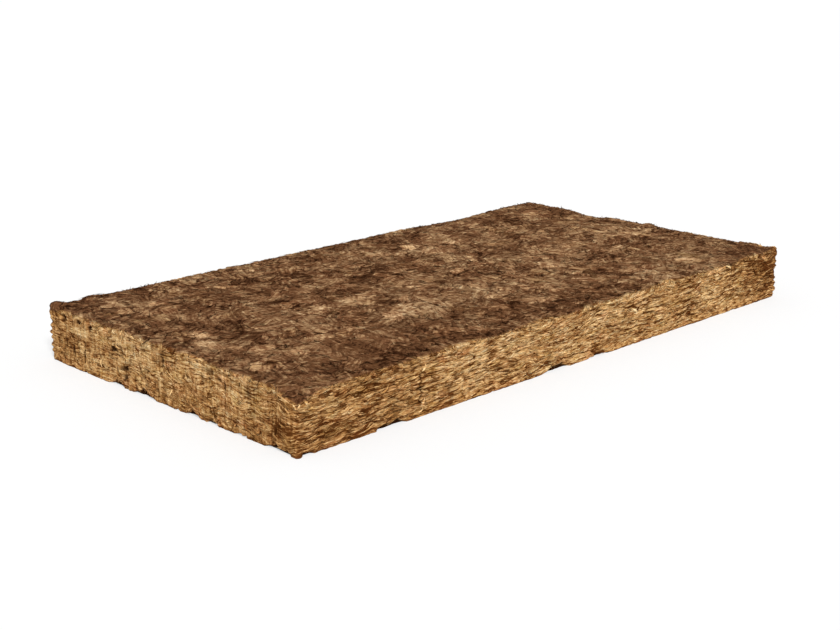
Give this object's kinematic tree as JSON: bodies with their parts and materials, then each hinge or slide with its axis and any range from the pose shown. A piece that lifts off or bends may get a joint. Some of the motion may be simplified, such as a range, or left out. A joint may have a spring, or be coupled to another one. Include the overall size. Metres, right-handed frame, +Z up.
{
  "type": "glass wool insulation panel",
  "caption": "Flat rectangular slab of unfaced brown glass wool with softened, slightly torn edges, laid in a wall, roof or floor to insulate it.",
  "frame": {"origin": "centre of the flat face that the slab rests on, halfway along its length and its width", "axes": "+X along the length, +Y across the width, +Z up through the thickness; the crushed corner is at -X, -Y"},
  "size_m": [1.2, 0.6, 0.09],
  "materials": {
    "glass_wool": "matt bonded glass fibre, brown, with lighter golden cut edges"
  },
  "bodies": {
    "root": {"wool_panel": "glass_wool"}
  },
  "joints": []
}
